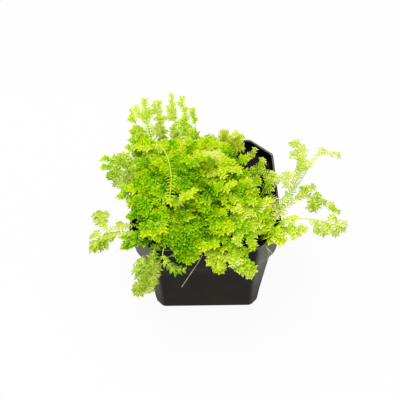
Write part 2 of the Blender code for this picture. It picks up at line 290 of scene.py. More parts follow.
def makePot():
    s = potShape
    (_, footHalf), (footTop, _) = s["profile"][:2]
    deselectAll()
    bpy.ops.mesh.primitive_cylinder_add(vertices=8, radius=footHalf * mm, depth=footTop * mm,
                                        location=(0, 0, footTop / 2 * mm),
                                        rotation=(0, 0, math.pi / 8))
    pot = bpy.context.object
    bpy.ops.object.transform_apply()
    bpy.ops.object.mode_set(mode="EDIT")
    bpy.ops.mesh.select_mode(type="FACE")
    for height in (0.0, footTop):
        # the flat face that lies at one height
        bpy.ops.mesh.select_all(action="DESELECT")
        mesh = bmesh.from_edit_mesh(pot.data)
        for face in mesh.faces:
            face.select_set(all(abs(v.co.z - height * mm) < 1e-6 for v in face.verts))
        bmesh.update_edit_mesh(pot.data)
        placeRing(pot, potSection(height))
    # up the outside, over the rim and down the inside to the floor
    rings = [(z, 0.0) for z, _ in s["profile"][2:]]
    rings += [(z, s["wall"]) for z in (s["rimHeight"], *s["innerRings"], s["floorTop"])]
    for height, inset in rings:
        bpy.ops.mesh.extrude_region_move(TRANSFORM_OT_translate={"value": (0, 0, 1e-6)})
        placeRing(pot, potSection(height, inset))

    # round the upright corners before the fine edges
    bpy.ops.mesh.select_mode(type="EDGE")
    mesh = bmesh.from_edit_mesh(pot.data)
    for edge in mesh.edges:
        run = edge.verts[0].co - edge.verts[1].co
        edge.select_set(abs(run.z) > 0.3 * mm and abs(run.z) > 0.8 * run.xy.length)
    bmesh.update_edit_mesh(pot.data)
    bpy.ops.mesh.bevel(offset=s["cornerRound"] * mm, segments=4, clamp_overlap=True)
    bpy.ops.object.mode_set(mode="OBJECT")

    # eight drain holes round a closed middle
    rods = []
    for x, y in [(x, y) for x in (-1, 0, 1) for y in (-1, 0, 1) if (x, y) != (0, 0)]:
        deselectAll()
        bpy.ops.mesh.primitive_cylinder_add(vertices=20, radius=s["holeRadius"] * mm, depth=8 * mm,
                                            location=(x * s["holeSpacing"] * mm,
                                                      y * s["holeSpacing"] * mm, 0))
        rods.append(bpy.context.object)
    drill = joinInto(rods[0], rods[1:])
    holes = pot.modifiers.new("drain holes", "BOOLEAN")
    holes.operation, holes.object = "DIFFERENCE", drill
    rounding = pot.modifiers.new("edges", "BEVEL")
    rounding.width, rounding.segments = s["edgeRound"] * mm, 2
    rounding.limit_method, rounding.angle_limit = "ANGLE", math.radians(40)
    makeActive(pot)
    for modifier in list(pot.modifiers):
        bpy.ops.object.modifier_apply(modifier=modifier.name)
    bpy.data.objects.remove(drill)
    makeActive(pot)
    bpy.ops.object.shade_smooth_by_angle(angle=math.radians(35))
    inner = pot.data.attributes.new("innerWall", "FLOAT", "FACE")
    for face in pot.data.polygons:
        middle = face.center.xy
        inner.data[face.index].value = face.normal.xy.dot(middle) < -0.3 * middle.length
    pot.data.materials.append(plastic)
    settle(pot, "potShell")
    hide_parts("pot")


makePot()
print("pot made")


# The compost, in millimetres: a bed with crumbs and slivers of bark on it.
compostShape = {
    "slot": "peat_compost",
    "top": 74.0,
    "gap": 0.3,           # between the bed and the pot's wall
    "skirt": 8.0,         # how far the bed's edge goes down the wall
    "cuts": 64,
    "lumps": 1.3,         # height of the lumps
    "crumbs": 900,
    "crumbSize": (0.4, 1.5),
    "slivers": 90,
    "sliverSize": (0.4, 1.1),
    "sliver": (4.5, 1.3, 0.5),
    "sliverTilt": 0.5,    # radians: they lie nearly flat
    "seed": 7,
}


def stamp(shape, mats, name, material):
    # copies one modelled shape many times into a single mesh: 4x4 matrices, millimetres
    co = np.array([(*v.co, 1.0) for v in shape.data.vertices])
    faces = np.array([f.vertices[:] for f in shape.data.polygons])
    verts = np.einsum("nij,vj->nvi", np.array(mats), co)[:, :, :3].reshape(-1, 3)
    step = len(co) * np.arange(len(mats))[:, None, None]
    made = bpy.data.meshes.new(name)
    made.from_pydata((verts * mm).tolist(), [], (faces[None] + step).reshape(-1, 3).tolist())
    made.materials.append(material)
    return newObject(name, made)


def compostHeight(x, y):
    # lumps of about 9 mm with smaller ones on them
    place = Vector((x, y, 3.0))
    return compostShape["top"] + compostShape["lumps"] * (
        0.7 * noise.noise(place / 9.0) + 0.5 * noise.noise(place / 3.5))


def makeCompost():
    s = compostShape
    draw = random.Random(s["seed"])
    edge = potSection(s["top"], potShape["wall"] + s["gap"])
    deselectAll()
    bpy.ops.mesh.primitive_grid_add(x_subdivisions=s["cuts"], y_subdivisions=s["cuts"],
                                    size=92 * mm, location=(0, 0, s["top"] * mm))
    bed = bpy.context.object
    bpy.ops.object.transform_apply()
    bpy.ops.object.mode_set(mode="EDIT")
    for a, b in zip(edge, edge[1:] + edge[:1]):
        outwards = (b - a).cross(worldUp)
        bpy.ops.mesh.select_all(action="SELECT")
        bpy.ops.mesh.bisect(plane_co=a * mm, plane_no=outwards, clear_outer=True)
    bpy.ops.mesh.select_all(action="SELECT")
    bpy.ops.mesh.quads_convert_to_tris()
    bpy.ops.mesh.select_all(action="SELECT")
    bpy.ops.mesh.region_to_loop()
    bpy.ops.mesh.extrude_edges_move(TRANSFORM_OT_translate={"value": (0, 0, -s["skirt"] * mm)})
    bpy.ops.transform.resize(value=(0.985, 0.985, 1))     # the pot tapers
    bpy.ops.mesh.edge_face_add()
    bpy.ops.mesh.select_all(action="SELECT")
    bpy.ops.mesh.normals_make_consistent()
    mesh = bmesh.from_edit_mesh(bed.data)
    for vert in mesh.verts:
        if vert.co.z > (s["top"] - 1) * mm:
            vert.co.z = compostHeight(vert.co.x / mm, vert.co.y / mm) * mm
    bmesh.update_edit_mesh(bed.data)
    bpy.ops.object.mode_set(mode="OBJECT")
    bpy.ops.object.shade_smooth_by_angle(angle=math.radians(60))
    bed.data.materials.append(peat)

    # one crumb, modelled once as a lumpy ball
    deselectAll()
    bpy.ops.mesh.primitive_ico_sphere_add(subdivisions=1, radius=1.0)
    crumb = bpy.context.object
    bpy.ops.object.mode_set(mode="EDIT")
    bpy.ops.transform.vertex_random(offset=0.35, uniform=0.2, seed=3)
    # one sliver of bark, an uneven splinter
    deselectAll()
    bpy.ops.mesh.primitive_cube_add(size=1.0)
    sliver = bpy.context.object
    bpy.ops.object.mode_set(mode="EDIT")
    bpy.ops.transform.resize(value=s["sliver"])
    bpy.ops.transform.vertex_random(offset=0.35, uniform=0.0, seed=5)
    bpy.ops.mesh.quads_convert_to_tris()
    bpy.ops.object.mode_set(mode="OBJECT")

    def scatter(count, smallest, largest, flat):
        mats = []
        while len(mats) < count:
            x, y = draw.uniform(-43, 43), draw.uniform(-43, 43)
            if abs(x) + abs(y) > 73:      # in the pot's cut corners
                continue
            size = smallest + (largest - smallest) * draw.random() ** 2
            turn = Matrix.Rotation(draw.uniform(0, 2 * math.pi), 4, "Z") @ Matrix.Rotation(
                draw.uniform(-flat, flat), 4, "X") @ Matrix.Rotation(
                draw.uniform(-flat, flat), 4, "Y")
            stretch = Matrix.Diagonal((size * draw.uniform(0.8, 1.4), size,
                                       size * draw.uniform(0.6, 1.0), 1))
            mats.append(Matrix.Translation((x, y, compostHeight(x, y) + 0.25 * size)) @ turn
                        @ stretch)
        return mats

    crumbs = stamp(crumb, scatter(s["crumbs"], *s["crumbSize"], math.pi), "crumbs", peat)
    slivers = stamp(sliver, scatter(s["slivers"], *s["sliverSize"], s["sliverTilt"]),
                    "slivers", bark)
    for shape in (crumb, sliver):
        bpy.data.objects.remove(shape)
    joinInto(bed, [crumbs, slivers])
    settle(bed, "compostBed")
    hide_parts("compost")


makeCompost()
print("compost made")


# The closed middle: fronds on a spiral.
mound = {
    "centre": Vector((-4.0, -6.0, 0.0)),
    "fronds": 18,
    "spiralStep": 6.6,
    "goldenAngle": math.radians(137.508),
    "top": 104.0,
    "fall": 0.009,        # millimetres of height lost per square millimetre of radius squared
    "lean": 12.0,         # how much farther out a tip is than its foot
    "swirl": math.radians(20),
    "foot": 74.6,
    "habit": {"tint": 0.46, "bare": 14.0},
}

# How a frond grows, unless its own entry says otherwise: combs of narrow leaves that end in
# denser, rounded clubs. Lengths in millimetres; a tint runs from 0 old green to 1 bleached.
frondHabit = {
    "slot": "golden_leaf",
    "leaf": "golden",
    "combLeaf": (3.1, 1.55),   # length and width of a side leaf
    "combSpacing": 1.8,
    "combAngle": 56,           # degrees between a side leaf and the stem ahead of it
    "clubLeaf": (3.3, 1.7),
    "clubSpacing": 1.85,
    "clubAngle": 42,
    "angleSpread": 11,
    "lift": (-5, 9),           # degrees that a side leaf stands up; up to 6 more in a club
    "sizeSpread": (0.85, 1.12),
    "curl": (-0.1, 0.15),      # how far a leaf's point bends down, as a share of its length
    "taper": 2.5,              # the leaves get smaller over this last length
    "club": 5.0,               # length over which a comb turns into its club
    "scales": True,            # small leaves pressed along the top of the stem
    "scaleLeaf": (1.6, 0.85),
    "footLeaves": True,        # the few leaves on the bare length
    "bareSpacing": 2.6,
    "faces": None,             # where the upper side looks, if not inwards
    "nod": 0.0,                # how far the leaves' faces are tipped up along the stem
    "leafThickness": 0.14,
    "stemRadius": 0.42,
    "thinner": 0.62,           # a side shoot's radius as a share of its stem's
    "bare": 12.0,              # length at the foot with few leaves and no side shoots
    "sideShoot": 8.5,          # longest side shoot
    "sideEvery": 3.6,          # from one side shoot to the next, left and right in turn
    "sideAngle": 48,
    "twigEvery": 3.4,          # the same for the twigs on a side shoot
    "twig": 4.0,
    "tips": (),                # where its side branches end
    "branch": {"sideEvery": 2.6, "sideShoot": 4.0, "twig": 2.2},  # how those branches differ
    "branchRadius": 0.34,
    "branchBare": 2.0,
    "end": 1.0,                # share of the route that the stem grows along
    "tint": 0.45,
    "tipTint": 0.32,           # how much yellower the new growth at the end of a spray is
    "newGrowth": 8.0,          # length of that new growth
    "deepTint": 0.26,          # how much greener and darker the leaves deep in the mound are: older leaves and painted shade
    "deepWithin": 14.0,        # the depth at which they are that green
    "vary": 0.12,              # how much single leaves differ in tint
    "withered": 0.0006,        # share of leaves that have turned brown
    "droop": 0.010,            # how much a side shoot bends down per millimetre
}

# habits that several fronds share
comb = {"twigEvery": 5.0, "twig": 3.0, "combSpacing": 1.7, "combLeaf": (3.5, 0.9)}
bareStem = {**comb, "sideEvery": 99.0}     # all its branches are among its tips
stray = {**bareStem, "leaf": "bleached", "tipTint": -0.26}
leftStray = {**stray, "tint": 0.62, "tipTint": -0.28, "combLeaf": (3.1, 1.0)}
backRow = {"sideShoot": 5.5, "bare": 8.0, "tint": 0.64, "end": 0.9}
frontRow = {"sideShoot": 5.0, "bare": 9.0, "tint": 0.56, "end": 0.9}
sparseEdge = {**comb, "leaf": "pale", "sideEvery": 4.0, "sideShoot": 3.9, "bare": 7.0,
              "tint": 0.56}
# the tall fronds at the back, broad side to the front: one kind with all its leaves at the end,
# the other a plain comb; their high tints are painted light, where they stand against the light
tuftClub = {**comb, "leaf": "fresh", "faces": Vector((0, -3, 0)), "nod": 1.1, "bare": 33.0,
            "footLeaves": False, "sideEvery": 2.6, "sideShoot": 3.0, "combLeaf": (2.5, 1.1),
            "combSpacing": 1.4, "clubLeaf": (2.3, 1.3), "clubSpacing": 1.4, "tint": 0.68,
            "tipTint": 0.06, "vary": 0.18,
            "branch": {"sideEvery": 2.5, "sideShoot": 4.2, "twig": 2.5}}
narrowClub = {**tuftClub, "bare": 38.0, "sideShoot": 1.5}
tuftComb = {**stray, "leaf": "fresh", "faces": Vector((0, -3, 0)), "nod": 1.0, "bare": 20.0,
            "combLeaf": (4.6, 1.2), "combSpacing": 1.8, "tint": 0.7, "tipTint": 0.0}
# Every frond round the mound, with its own habit, its route, whose first point stands on the
# compost, and the tips of its side branches.
fronds = {
    "back_left_frond_1": {
        **narrowClub, "route": [(-34, 21), (-40, 34, 91), (-47, 46, 109)],
        "tips": [(-47, 42, 107), (-42, 37, 103), (-39, 34, 102), (-44, 32, 100), (-36, 32, 100),
            (-44, 29, 100)]},
    "back_left_frond_2": {
        **tuftComb, "route": [(-28, 27), (-34, 37, 89), (-37, 43, 101), (-37, 48, 115)],
        "tips": [(-45, 46, 108), (-34, 46, 108)]},
    "back_left_frond_3": {
        # painted light: a tint raised where the tuft stands against the light
        **tuftClub, "sideShoot": 2.2, "tint": 0.8,
        "route": [(-22, 24), (-27, 38, 93), (-29, 50, 112)],
        "tips": [(-33, 47, 111), (-31, 46, 108), (-29, 51, 110), (-28, 42, 106), (-26, 43, 105),
            (-29, 38, 105), (-31, 35, 103), (-26, 37, 102), (-31, 33, 100), (-34, 35, 102),
            (-26, 33, 99)]},
    "back_left_frond_4": {
        # painted light: a tint raised where the tuft stands against the light
        **narrowClub, "tint": 0.8, "route": [(-14, 29), (-18, 41, 96), (-21, 52, 116)],
        "tips": [(-21, 46, 108), (-19, 46, 106), (-23, 44, 106), (-22, 36, 101), (-19, 34, 100),
            (-21, 49, 107), (-24, 47, 110), (-22, 32, 98), (-17, 31, 98)]},
    "back_left_frond_5": {
        **tuftComb, "end": 0.86, "sideEvery": 6.0, "sideShoot": 2.5, "combLeaf": (2.8, 1.1),
        "clubLeaf": (2.4, 1.3), "route": [(-8, 25), (-11, 39, 94), (-13, 50, 114)],
        "tips": [(-13, 42, 106), (-9, 39, 102), (-15, 41, 104), (-17, 36, 102), (-13, 37, 101),
            (-15, 34, 99), (-19, 38, 105), (-15, 52, 113)]},
    "back_left_frond_6": {
        **narrowClub, "bare": 28.0, "route": [(-1, 30), (-5, 39, 92), (-7, 47, 107)],
        "tips": [(-10, 35, 100), (-7, 33, 98), (-3, 32, 97), (-12, 34, 98), (-9, 46, 108)]},
    "back_left_frond_7": {
        "sideShoot": 5.0, "bare": 9.0, "tint": 0.56,
        "route": [(-38, 13), (-42, 28, 89), (-45, 42, 97)],
        "tips": [(-47, 36, 100), (-48, 31, 97), (-37, 29, 99), (-42, 29, 97), (-46, 23, 95),
            (-44, 17, 94), (-50, 25, 95), (-40, 33, 99)]},
    "back_middle_frond_1": {
        **backRow, "tint": 0.6, "end": 0.7, "route": [(4, 26), (5, 33, 88), (5, 39, 97)],
        "tips": [(2, 34, 97), (7, 32, 96), (2, 29, 95)]},
    "back_middle_frond_2": {
        **backRow, "route": [(11, 30), (13, 34, 88), (15, 40, 98)],
        "tips": [(17, 32, 97), (9, 33, 96), (21, 34, 97), (13, 27, 95), (11, 36, 98)]},
    "back_middle_frond_3": {
        **backRow, "route": [(16, 24), (20, 30, 86), (25, 36, 91)],
        "tips": [(20, 27, 95), (23, 34, 94), (21, 25, 91), (23, 34, 97)]},
    "left_frond_1": {
        **bareStem, "leaf": "pale", "tint": 0.62, "tipTint": 0.12,
        "route": [(-37, 5), (-50, 12, 92), (-63, 17, 95)],
        "tips": [(-57, 16, 97), (-52, 16, 98), (-48, 18, 97), (-50, 13, 95), (-55, 11, 95),
            (-59, 9, 93), (-65, 15, 94), (-63, 9, 92), (-60, 5, 90)]},
    "left_frond_2": {
        **stray, "tint": 0.52, "route": [(-38, -4), (-48, 1, 88), (-60, 6, 88)],
        "tips": [(-54, 8, 92), (-57, 5, 91), (-49, 0, 92), (-45, 7, 93), (-56, 0, 89),
            (-53, -2, 88), (-60, 5, 91)]},
    "left_frond_3": {
        **bareStem, "leaf": "pale", "tint": 0.54, "tipTint": 0.2,
        "route": [(-37, -13), (-44, -11, 87), (-54, -7, 86)],
        "tips": [(-51, -6, 88), (-47, -13, 88), (-50, -2, 90), (-44, -8, 90), (-52, -9, 86),
            (-46, -16, 86), (-44, -16, 88)]},
    "left_trailing_frond_1": {
        **leftStray, "route": [(-34, -23), (-42, -30, 86), (-57, -33, 86), (-64, -17, 83)],
        "tips": [(-65, -19, 84), (-60, -20, 85), (-66, -23, 83), (-59, -25, 84), (-62, -25, 83),
            (-51, -31, 86), (-62, -23, 85)]},
    "left_trailing_frond_2": {
        **leftStray, "route": [(-30, -29), (-41, -36, 86), (-55, -36, 84), (-66, -38, 77)],
        "tips": [(-67, -33, 80), (-63, -37, 80), (-59, -38, 79), (-54, -36, 82), (-66, -39, 78),
            (-62, -40, 76), (-58, -40, 78), (-67, -41, 77), (-59, -34, 81), (-65, -41, 76)]},
    "left_corner_frond": {
        "sideEvery": 5.0, "sideShoot": 4.0, "tint": 0.38,
        "route": [(-24, -33), (-32, -40, 86), (-40, -42, 84), (-49, -40, 78)],
        "tips": [(-48, -36, 84), (-43, -36, 86), (-42, -41, 83), (-37, -39, 86), (-36, -43, 84),
            (-47, -39, 81), (-38, -36, 88), (-37, -41, 84), (-34, -42, 85)]},
    "hanging_frond_1": {
        "leaf": "bleached", "sideEvery": 5.5, "sideShoot": 3.6, "tint": 0.23, "tipTint": 0.38,
        "newGrowth": 24.0, "deepTint": 0.0, "combLeaf": (4.0, 1.2), "clubLeaf": (3.4, 1.4),
        "combSpacing": 1.9, "vary": 0.18, "bare": 14.0, "footLeaves": False,
        "route": [(-20, -34), (-28, -46, 86), (-31, -54, 82), (-37, -56, 68), (-43, -57, 57)],
        "tips": [(-40, -49, 76), (-42, -51, 72), (-35, -54, 74), (-32, -59, 60), (-29, -58, 66),
            (-33, -56, 70), (-38, -54, 68), (-27, -55, 76), (-43, -56, 58), (-35, -58, 60),
            (-41, -59, 56), (-41, -53, 67), (-39, -55, 62), (-34, -56, 64), (-30, -57, 72),
            (-36, -58, 57), (-39, -59, 56), (-32, -50, 80), (-28, -56, 76)]},
    "hanging_frond_2": {
        **stray, "deepTint": 0.0, "tint": 0.28, "tipTint": 0.0, "bare": 25.0, "footLeaves": False,
        "scales": False, "combLeaf": (3.9, 1.8), "combSpacing": 3.0, "clubLeaf": (3.6, 1.8),
        "clubSpacing": 2.8,
        "route": [(-15, -35), (-22, -44, 86.5), (-24, -52, 84.5), (-18, -57, 81), (-12, -57, 79)],
        "tips": [(-17, -59, 79)]},
    "front_left_frond_1": {
        "tint": 0.46, "route": [(-10, -22), (-15, -31, 92), (-24, -37, 98), (-36, -38, 95)],
        "tips": [(-35, -44, 94), (-30, -44, 94), (-31, -40, 97)]},
    "front_left_frond_2": {
        "tint": 0.44, "sideShoot": 5.0, "end": 0.9,
        "route": [(-17, -28), (-21, -38, 89), (-29, -46, 89)],
        "tips": [(-31, -43, 91)]},
    "arching_frond": {
        **bareStem, "bare": 24.0, "tint": 0.8, "tipTint": 0.0, "combLeaf": (3.2, 0.6),
        "combSpacing": 2.2, "clubLeaf": (2.4, 0.7), "clubSpacing": 1.8, "combAngle": 68,
        "stemRadius": 0.6, "scales": False,
        "route": [(-27, 12), (-28, 17, 102), (-22, 1, 112), (-19, -14, 110), (-20, -31, 106)]},
    "bright_frond": {
        "tint": 0.6, "sideShoot": 5.5, "tipTint": 0.2,
        "route": [(-15, -15), (-17, -27, 96), (-13, -28, 105), (-5, -22, 108)]},
    "front_frond_1": {
        **frontRow, "route": [(-7, -36), (-7, -46, 87), (-6, -54, 82)],
        "tips": [(-17, -53, 86), (-13, -54, 84), (-5, -53, 84), (-9, -55, 83), (-18, -51, 89),
            (-2, -52, 89), (-9, -53, 86), (0, -51, 91), (-14, -52, 88), (-2, -48, 84),
            (-14, -53, 85)]},
    "front_frond_2": {
        **frontRow, "route": [(3, -36), (5, -47, 86), (6, -54, 80), (6.5, -54, 74)],
        "tips": [(4, -54, 80), (10, -56, 80), (4, -52, 84), (9, -53, 85), (5, -56, 76),
            (8, -57, 76), (1, -52, 86), (10, -51, 89), (2, -55, 80)]},
    "front_frond_3": {
        "leaf": "pale", "sideShoot": 4.0, "bare": 14.0, "tint": 0.58, "end": 0.85,
        "route": [(17, -36), (20, -46, 86), (23, -53, 78), (25, -54, 69)],
        "tips": [(19, -57, 79), (22, -59, 76), (15, -57, 84), (24, -59, 74), (12, -55, 84),
            (14, -57, 82), (17, -58, 80), (21, -54, 72), (27, -57, 75)]},
    "front_frond_4": {
        "leaf": "pale", "sideShoot": 2.5, "bare": 9.0, "tint": 0.4, "end": 0.85,
        "route": [(23, -33), (26, -42, 87), (26, -49, 84.5)],
        "tips": [(26, -48, 85)]},
    "right_corner_frond": {
        "sideShoot": 5.0, "bare": 8.0, "tint": 0.58,
        "route": [(31, -34), (36, -39, 86), (43, -44, 84)],
        "tips": [(40, -42, 86), (45, -40, 86), (37, -39, 89), (33, -40, 91), (35, -27, 91),
            (33, -35, 91), (37, -35, 90), (43, -36, 88), (37, -43, 84), (44, -43, 84)]},
    "yellow_frond": {
        "leaf": "pale", "sideEvery": 4.0, "sideShoot": 3.2, "tint": 0.6, "tipTint": 0.3,
        "bare": 10.0, "route": [(33, -28), (43, -34, 86), (51, -36, 87), (58, -34, 86)],
        "tips": [(52, -28, 90), (48, -30, 90), (54, -37, 85), (46, -38, 87), (57, -35, 85),
            (51, -40, 85)]},
    "right_trailing_frond_1": {
        **stray, "bare": 18.0, "tint": 0.35, "tipTint": 0.3, "newGrowth": 30.0,
        "route": [(34, -16), (44, -19, 89), (52, -9, 92), (57.5, 4, 95), (59, 16, 97),
            (58, 26, 98)],
        "tips": [(44, 2, 91), (49, 3, 93), (54, 16, 98), (61, 14, 98), (62, 9, 97), (61, 5, 95),
            (55, 24, 98), (60, 20, 99)]},
    "right_trailing_frond_2": {
        **stray, "bare": 42.0, "footLeaves": False, "tint": 0.86, "combLeaf": (2.4, 1.0),
        "combSpacing": 1.8, "clubLeaf": (2.4, 1.3),
        "route": [(37, -10), (46, -11, 85), (56, -3, 88), (64, 8, 92), (72, 18, 94), (85, 19, 93)],
        "tips": [(80, 16, 93), (85, 17, 92), (76, 21, 94)]},
    "right_trailing_frond_3": {
        **stray, "bare": 18.0, "tint": 0.63,
        "route": [(36, -21), (44, -22, 86), (55, -13, 88), (64, -12, 88), (72, -19, 87),
            (79, -21, 84)],
        "tips": [(65, -6, 91), (61, -9, 91), (64, -20, 84), (67, -14, 89), (71, -16, 88),
            (76, -18, 86), (64, -18, 86), (67, -19, 86)]},
    "right_trailing_frond_4": {
        **stray, "bare": 50.0, "footLeaves": False, "tint": 0.76, "combLeaf": (2.8, 1.2),
        "route": [(35, -27), (44, -29, 86.5), (60, -28, 87), (71, -29, 84), (82, -31, 79)],
        "tips": [(65, -35, 83), (69, -36, 82), (75, -36, 81), (82, -28, 82), (77, -26, 84),
            (79, -31, 81), (71, -33, 84)]},
    "back_right_frond_1": {
        **sparseEdge, "taper": 14.0, "clubAngle": 50,
        "route": [(20, 18), (26, 24, 83), (34, 30, 87)],
        "tips": [(29, 27, 87)]},
    "back_right_frond_2": {
        **sparseEdge, "taper": 14.0, "clubAngle": 50,
        "route": [(24, 3), (31, 12, 83), (38, 21, 87)],
        "tips": [(38, 19, 88), (38, 13, 87), (31, 15, 85), (33, 4, 86), (39, 9, 88)]},
    "right_rim_frond": {
        **sparseEdge, "sideShoot": 4.1, "tint": 0.6,
        "route": [(33, -4), (39, 3, 85), (42.5, 11, 86)],
        "tips": [(43, 3, 87), (42, -5, 87), (40, 5, 86), (40, -6, 88), (42, -14, 88),
            (38, -20, 89), (43, -22, 87), (46, -25, 87), (38, -27, 89), (41, -29, 88)]},
}

# More sprays that close the mound and lap over the rim, on a finer spiral; each grows with the
# nearest frond.
fillSprays = {
    "count": 150,
    "centre": Vector((-3.0, -8.0, 0.0)),
    "across": (43.0, 46.0),    # half the mound's width and depth
    "top": 103.0,
    "fall": 0.0062,
    "length": (12.0, 18.0),
    "rise": (-0.15, 0.45),     # how a spray's end climbs, per millimetre along
    "uneven": (-8, 4),         # how far from the mound's height they end, less so at its edge
    "stemRadius": 0.36,
    "tint": (0.21, 0.58),
    "tintAcross": 0.0024,      # yellower towards the right
    "tintFront": 0.0055,       # greener in the front rows
    "rimTips": [  # single sprays that close the view of the pot's edge
        (-43, 28, 96), (-38, 26, 95), (-34, 29, 96), (-29, 28, 96), (-25, 30, 96),
        (-20, 28, 96), (-16, 30, 96), (-10, 29, 95), (-5, 30, 95), (0, 31, 95),
        (4, 31, 94), (9, 28, 92), (-46, 10, 92), (-44, 16, 93), (-43, -6, 90),
        (-44, -14, 90), (-43, -20, 89), (-34, 23, 95), (-23, 23, 96), (30, -26, 92),
        (33, -32, 91), (35, -38, 89), (27, -21, 94), (39, -31, 88), (31, -1, 88),
        (27, -5, 90), (34, 0, 87), (-3, -51, 92), (2, -50, 92), (-20, -48, 90)],
    "rimTint": 0.16,           # how much yellower the back ones of these are
    "seed": 11,
}
# Where the mound is yellower and lighter or greener and darker than round about, partly its own
# tint and partly painted light and shade: a place in plan, and by how much.
moundLightAndTint = [
    (3, 10, 0.55), (-3, -5, 0.06), (14, -24, 0.13), (37, -18, 0.14), (-15, 30, 0.14),
    (16, 31, 0.14), (1, -52, 0.16), (-20, -30, 0.2), (-9, -32, 0.12), (36, -43, 0.12),
    (-41, -27, -0.26), (-30, -34, -0.36), (-19, -53, -0.36), (1, -39, -0.12), (37, -32, -0.08),
    (-60, 8, -0.12), (-34, 17, 0.2), (-43, -15, 0.08), (-9, 9, 0.1), (-20, -43, 0.2),
    (12, -53, -0.1), (-8, -52, -0.06), (14, -44, 0.08), (-9, -45, 0.1), (-21, -6, -0.2),
    (3, 11, 0.26), (16, 14, -0.2), (3, -7, 0.16), (38, -16, 0.18), (25, -33, 0.18),
    (-20, -57, -0.24), (-9, -57, -0.18), (3, -58, 0.14), (-35, 29, -0.2), (-48, 32, -0.12),
    (16, 29, 0.14),
]
patchSize = 8.0           # radius over which a patch fades
moundLeaves = ("golden", "pale")     # the kinds that follow the patches
stationSpacing = 6.5      # distance between the stations at which a frond's flat side is turned
deadLeaf = 2.0            # the tint that marks a dead leaf


def smoothRoute(points, spacing, start=worldUp):
    # evenly spaced points on a Catmull-Rom curve that sets out in a direction, from the
    # compost straight up
    before = points[0] - start * (points[1] - points[0]).length
    ends = [before] + points + [points[-1] * 2 - points[-2]]
    fine = []
    for a, b, c, d in zip(ends, ends[1:], ends[2:], ends[3:]):
        for step in range(12):
            t = step / 12
            fine.append(0.5 * (2 * b + (c - a) * t + (2 * a - 5 * b + 4 * c - d) * t ** 2
                               + (3 * b - a - 3 * c + d) * t ** 3))
    fine.append(points[-1])
    return resample(fine, spacing)


def resample(fine, spacing):
    lengths = [0.0]
    for a, b in zip(fine, fine[1:]):
        lengths.append(lengths[-1] + (b - a).length)
    count = max(4, round(lengths[-1] / spacing))
    points, k = [], 0
    for i in range(count + 1):
        target = lengths[-1] * i / count
        while k < len(fine) - 2 and lengths[k + 1] < target:
            k += 1
        points.append(fine[k].lerp(fine[k + 1], (target - lengths[k])
                                   / (lengths[k + 1] - lengths[k])))
    return points


def moundFronds():
    # a spiral of feet, each frond leaning away from the middle and bending over at the top
    made = {}
    for k in range(mound["fronds"]):
        turn = k * mound["goldenAngle"]
        radius = mound["spiralStep"] * math.sqrt(k + 0.5)
        away = Vector((math.cos(turn), math.sin(turn), 0))
        lean = Matrix.Rotation(mound["swirl"] * math.sin(2 * k), 3, "Z") @ away * mound["lean"]
        foot = mound["centre"] + away * radius
        tip = foot + lean
        tip.z = mound["top"] - mound["fall"] * (radius + mound["lean"]) ** 2
        foot.z = mound["foot"]
        middle = foot + lean * 0.3
        middle.z = mound["foot"] + 0.8 * (tip.z - mound["foot"])
        made[f"mound_frond_{k + 1}"] = {**frondHabit, **mound["habit"],
                                        "route": [foot, middle, tip]}
    return made


def squareTo(ahead, upper):
    return (upper - upper.dot(ahead) * ahead).normalized()


def upperSides(points, faces=None):
    # the upper side looks at the sky, inwards on an upright stem and outwards on a hanging one,
    # and is carried back from the tip so that the stem doesn't twist
    made, upper, last = [], Vector(), len(points) - 1
    for i in range(last, -1, -1):
        ahead = (points[min(i + 1, last)] - points[max(i - 1, 0)]).normalized()
        inwards = faces or Vector((-points[i].x, -points[i].y, 0)).normalized()
        upper = squareTo(ahead, upper + worldUp + inwards * ahead.z * 0.3)
        made.insert(0, upper)
    return made


def modelLeaf(sides):
    # a thin closed leaf, 1 long, 1 wide and 1 thick before it is scaled: flat cone, point at +X
    deselectAll()
    bpy.ops.mesh.primitive_cone_add(vertices=sides, radius1=0.5, radius2=0, depth=0.5,
                                    end_fill_type="TRIFAN", location=(0, 0, 0.25))
    leaf = bpy.context.object
    bpy.ops.object.transform_apply()
    bpy.ops.object.mode_set(mode="EDIT")
    mesh = bmesh.from_edit_mesh(leaf.data)
    for vert in mesh.verts:
        x, y = vert.co.y, -vert.co.x       # the cone's first corner becomes the tip
        if abs(x) < 0.01 and abs(y) < 0.01:
            # ridge above, belly below
            vert.co = Vector((0.36, 0, 0.5 if vert.co.z > 0.1 else -0.5))
        else:
            share = x + 0.5                # 0 at the base, 1 at the tip
            broad = 1.15 if share < 0.5 else 0.95
            vert.co = Vector((share ** 1.5, y * broad * (1 if sides > 4 else 0.9), 0))
    bmesh.update_edit_mesh(leaf.data)
    bpy.ops.mesh.select_all(action="SELECT")
    bpy.ops.mesh.normals_make_consistent()
    bpy.ops.object.mode_set(mode="OBJECT")
    co = np.array([v.co for v in leaf.data.vertices])
    faces = np.array([f.vertices[:] for f in leaf.data.polygons])
    under = np.array([f.normal.z < 0 for f in leaf.data.polygons])
    bpy.data.objects.remove(leaf)
    return co, faces, under


sideLeaf, smallLeaf = modelLeaf(6), modelLeaf(4)


def setLeaf(plant, kind, place, along, upper, length, width, curl, tint):
    across = upper.cross(along).normalized()
    face = along.cross(across)
    plant[kind].append((*place, *along, *across, *face, length, width, curl, tint))


def walk(start, ahead, upper, length, droop, wander):
    # points of a free shoot, a millimetre apart, bending down and to one side as it goes
    points, uppers = [start.copy()], [upper.copy()]
    for _ in range(max(2, round(length))):
        side = upper.cross(ahead)
        ahead = (ahead + side * wander - worldUp * droop).normalized()
        upper = squareTo(ahead, upper)
        points.append(points[-1] + ahead)
        uppers.append(upper.copy())
    return points, uppers


def mix(a, b, share):
    return a + (b - a) * share


def patchLightAndTint(place):
    return sum(tint * math.exp(-((place.x - x) ** 2 + (place.y - y) ** 2) / patchSize ** 2)
               for x, y, tint in moundLightAndTint)


